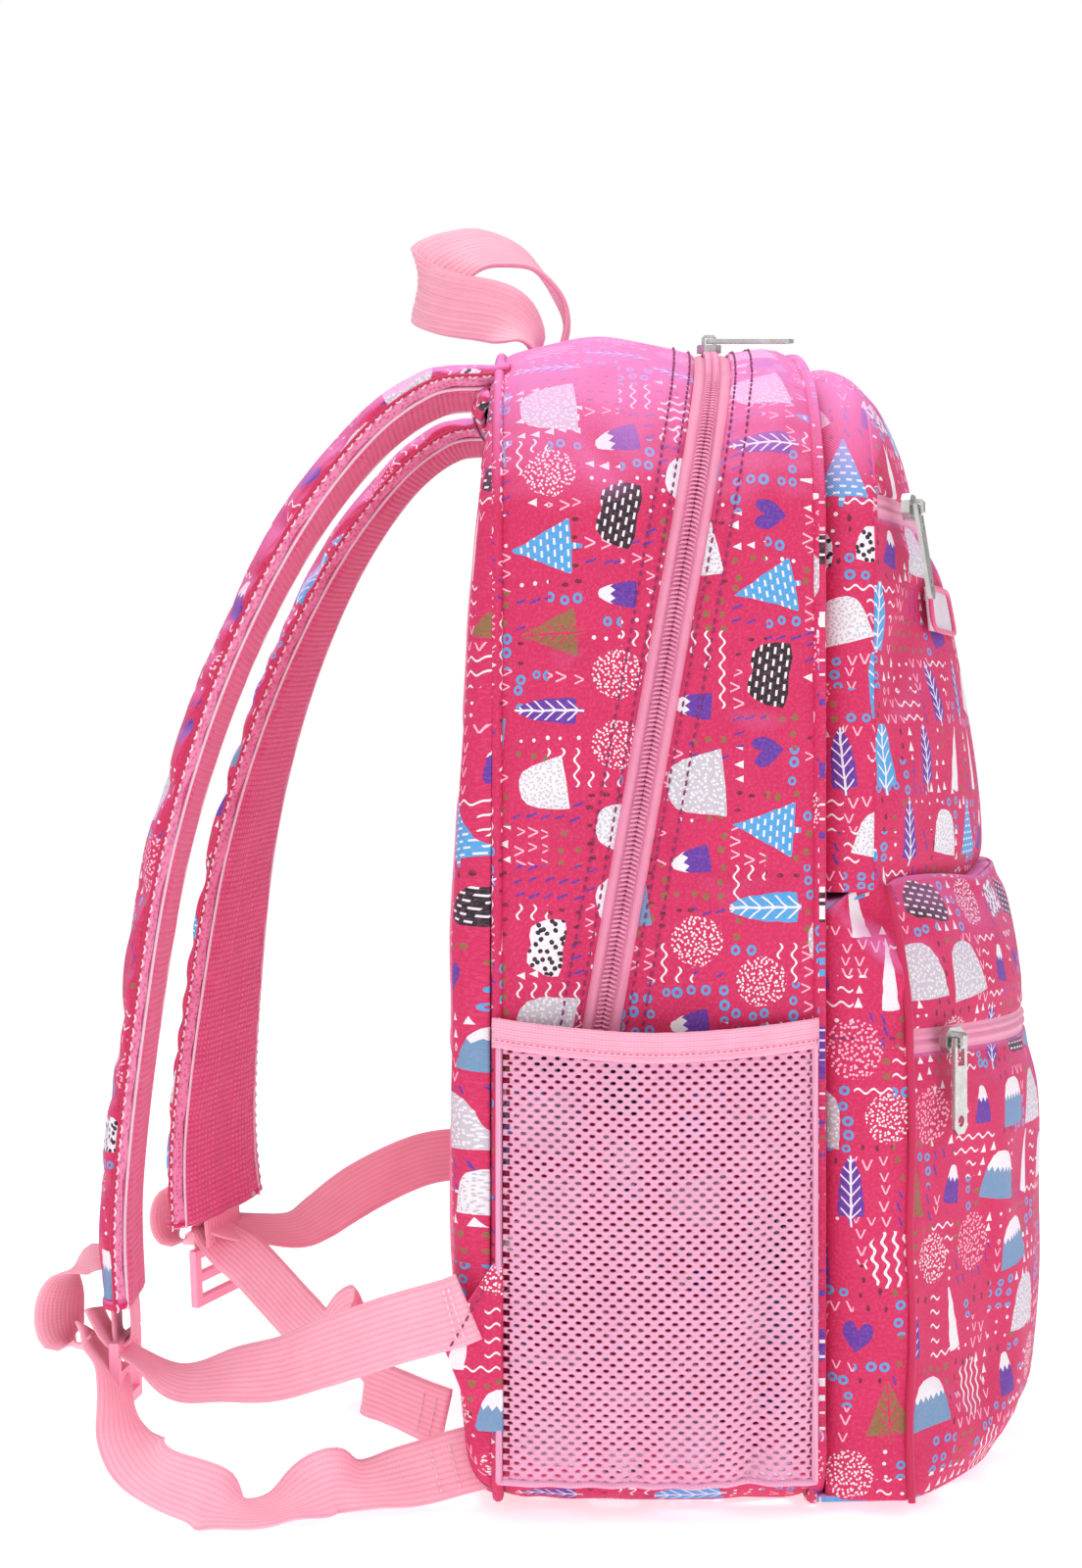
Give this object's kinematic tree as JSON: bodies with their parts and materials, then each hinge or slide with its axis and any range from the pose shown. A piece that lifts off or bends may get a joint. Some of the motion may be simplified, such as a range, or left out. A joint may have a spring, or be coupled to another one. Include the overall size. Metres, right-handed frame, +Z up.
{
  "type": "school backpack",
  "caption": "Printed-fabric school backpack with zipped main compartment and front pockets, mesh side pockets, padded straps and a grab handle.",
  "frame": {"origin": "centre of the main compartment's footprint, on the ground the bag stands on", "axes": "+Z up, -Y the front with the pockets, +Y the wearer's side with the straps, -X the wearer's left"},
  "size_m": [0.3237, 0.3598, 0.4769],
  "materials": {
    "printed_cloth": "printed woven polyester with a fine diagonal weave",
    "foam": "soft open-cell foam",
    "lining": "thin plain lining cloth",
    "board": "smooth stiffener sheet",
    "zip_tape": "woven zip tape",
    "zip_coil": "nylon coil teeth",
    "mesh": "knitted mesh with rows of oval holes",
    "air_mesh": "fine spacer mesh",
    "elastic": "ribbed elastic binding",
    "webbing": "ribbed nylon webbing",
    "buckle": "moulded acetal",
    "patch": "plain woven patch",
    "metal": "polished nickel plate"
  },
  "bodies": {
    "pack": {"back_panel": "printed_cloth", "back_foam_pad": "foam", "back_lining": "lining", "strap_yoke": "printed_cloth", "rear_zip_gusset": "printed_cloth", "front_zip_gusset": "printed_cloth", "base_gusset": "printed_cloth", "main_lining": "lining", "base_board": "board", "main_zip_tape_rear": "zip_tape", "main_zip_tape_front": "zip_tape", "main_zip_coil": "zip_coil", "main_front_panel": "printed_cloth", "upper_pocket_gusset": "printed_cloth", "upper_pocket_face": "printed_cloth", "upper_pocket_face_top": "printed_cloth", "upper_zip_tape": "zip_tape", "upper_zip_coil": "zip_coil", "lower_pocket_gusset": "printed_cloth", "lower_pocket_face": "printed_cloth", "lower_pocket_face_top": "printed_cloth", "lower_zip_tape": "zip_tape", "lower_zip_coil": "zip_coil", "lower_pocket_piping": "printed_cloth", "label_patch": "patch", "mesh_pocket_left": "mesh", "mesh_pocket_right": "mesh", "mesh_binding_left": "elastic", "mesh_binding_right": "elastic", "webbing_tab_left": "printed_cloth", "webbing_tab_right": "printed_cloth"},
    "main_slider_left": {"main_slider_left": "metal"},
    "main_slider_left_pull": {"main_slider_left_pull": "metal"},
    "main_slider_right": {"main_slider_right": "metal"},
    "main_slider_right_pull": {"main_slider_right_pull": "metal"},
    "upper_slider": {"upper_slider": "metal"},
    "upper_slider_pull": {"upper_slider_pull": "metal"},
    "lower_slider": {"lower_slider": "metal"},
    "lower_slider_pull": {"lower_slider_pull": "metal"},
    "handle": {"grab_handle": "webbing"},
    "strap_left": {"strap_left_foam": "foam", "strap_left_outer": "printed_cloth", "strap_left_mesh": "air_mesh", "lock_loop_left": "webbing", "adjuster_webbing_left": "webbing", "webbing_tail_left": "webbing"},
    "lock_left": {"ladder_lock_left": "buckle"},
    "strap_right": {"strap_right_foam": "foam", "strap_right_outer": "printed_cloth", "strap_right_mesh": "air_mesh", "lock_loop_right": "webbing", "adjuster_webbing_right": "webbing", "webbing_tail_right": "webbing"},
    "lock_right": {"ladder_lock_right": "buckle"}
  },
  "joints": [
    {"name": "main_slider_left_travel", "type": "hinge", "parent": "pack", "child": "main_slider_left", "pos_m": [0, 0.02018, 0.164], "axis": [0, 0.9846, 0.1749], "range_deg": [-12, 5]},
    {"name": "main_slider_left_pull_lift", "type": "hinge", "parent": "main_slider_left", "child": "main_slider_left_pull", "pos_m": [-0.03234, -0.0258, 0.42742], "axis": [-0.9925, 0, -0.1219], "range_deg": [0, 150]},
    {"name": "main_slider_right_travel", "type": "hinge", "parent": "pack", "child": "main_slider_right", "pos_m": [0, 0.02018, 0.164], "axis": [0, 0.9846, 0.1749], "range_deg": [-5, 12]},
    {"name": "main_slider_right_pull_lift", "type": "hinge", "parent": "main_slider_right", "child": "main_slider_right_pull", "pos_m": [0.03234, -0.0258, 0.42742], "axis": [-0.9925, 0, 0.1219], "range_deg": [0, 150]},
    {"name": "upper_slider_travel", "type": "hinge", "parent": "pack", "child": "upper_slider", "pos_m": [0, 0.2318, 0.352], "axis": [0, 0, 1], "range_deg": [0, 42]},
    {"name": "upper_slider_pull_lift", "type": "hinge", "parent": "upper_slider", "child": "upper_slider_pull", "pos_m": [-0.12484, -0.09342, 0.352], "axis": [-0.9336, 0.3584, 0], "range_deg": [0, 140]},
    {"name": "lower_slider_travel", "type": "hinge", "parent": "pack", "child": "lower_slider", "pos_m": [0, 0.04473, 0.164], "axis": [0, 0, 1], "range_deg": [0, 82]},
    {"name": "lower_slider_pull_lift", "type": "hinge", "parent": "lower_slider", "child": "lower_slider_pull", "pos_m": [-0.13189, -0.10699, 0.164], "axis": [-0.7547, 0.6561, 0], "range_deg": [0, 140]},
    {"name": "handle_fold", "type": "hinge", "parent": "pack", "child": "handle", "pos_m": [0, 0.04, 0.423], "axis": [1, 0, 0], "range_deg": [-25, 60], "deforming": ["grab_handle"]},
    {"name": "strap_left_swing", "type": "hinge", "parent": "pack", "child": "strap_left", "pos_m": [-0.066, 0.061, 0.404], "axis": [1, 0, 0], "range_deg": [-12, 25], "deforming": ["adjuster_webbing_left", "webbing_tail_left"]},
    {"name": "lock_left_swing", "type": "hinge", "parent": "strap_left", "child": "lock_left", "pos_m": [-0.07537, 0.19563, 0.04801], "axis": [0.9976, -0.0698, 0], "range_deg": [-25, 25]},
    {"name": "strap_right_swing", "type": "hinge", "parent": "pack", "child": "strap_right", "pos_m": [0.066, 0.061, 0.404], "axis": [1, 0, 0], "range_deg": [-12, 25], "deforming": ["adjuster_webbing_right", "webbing_tail_right"]},
    {"name": "lock_right_swing", "type": "hinge", "parent": "strap_right", "child": "lock_right", "pos_m": [0.11387, 0.18621, 0.04813], "axis": [0.866, -0.5, 0], "range_deg": [-25, 25]}
  ]
}
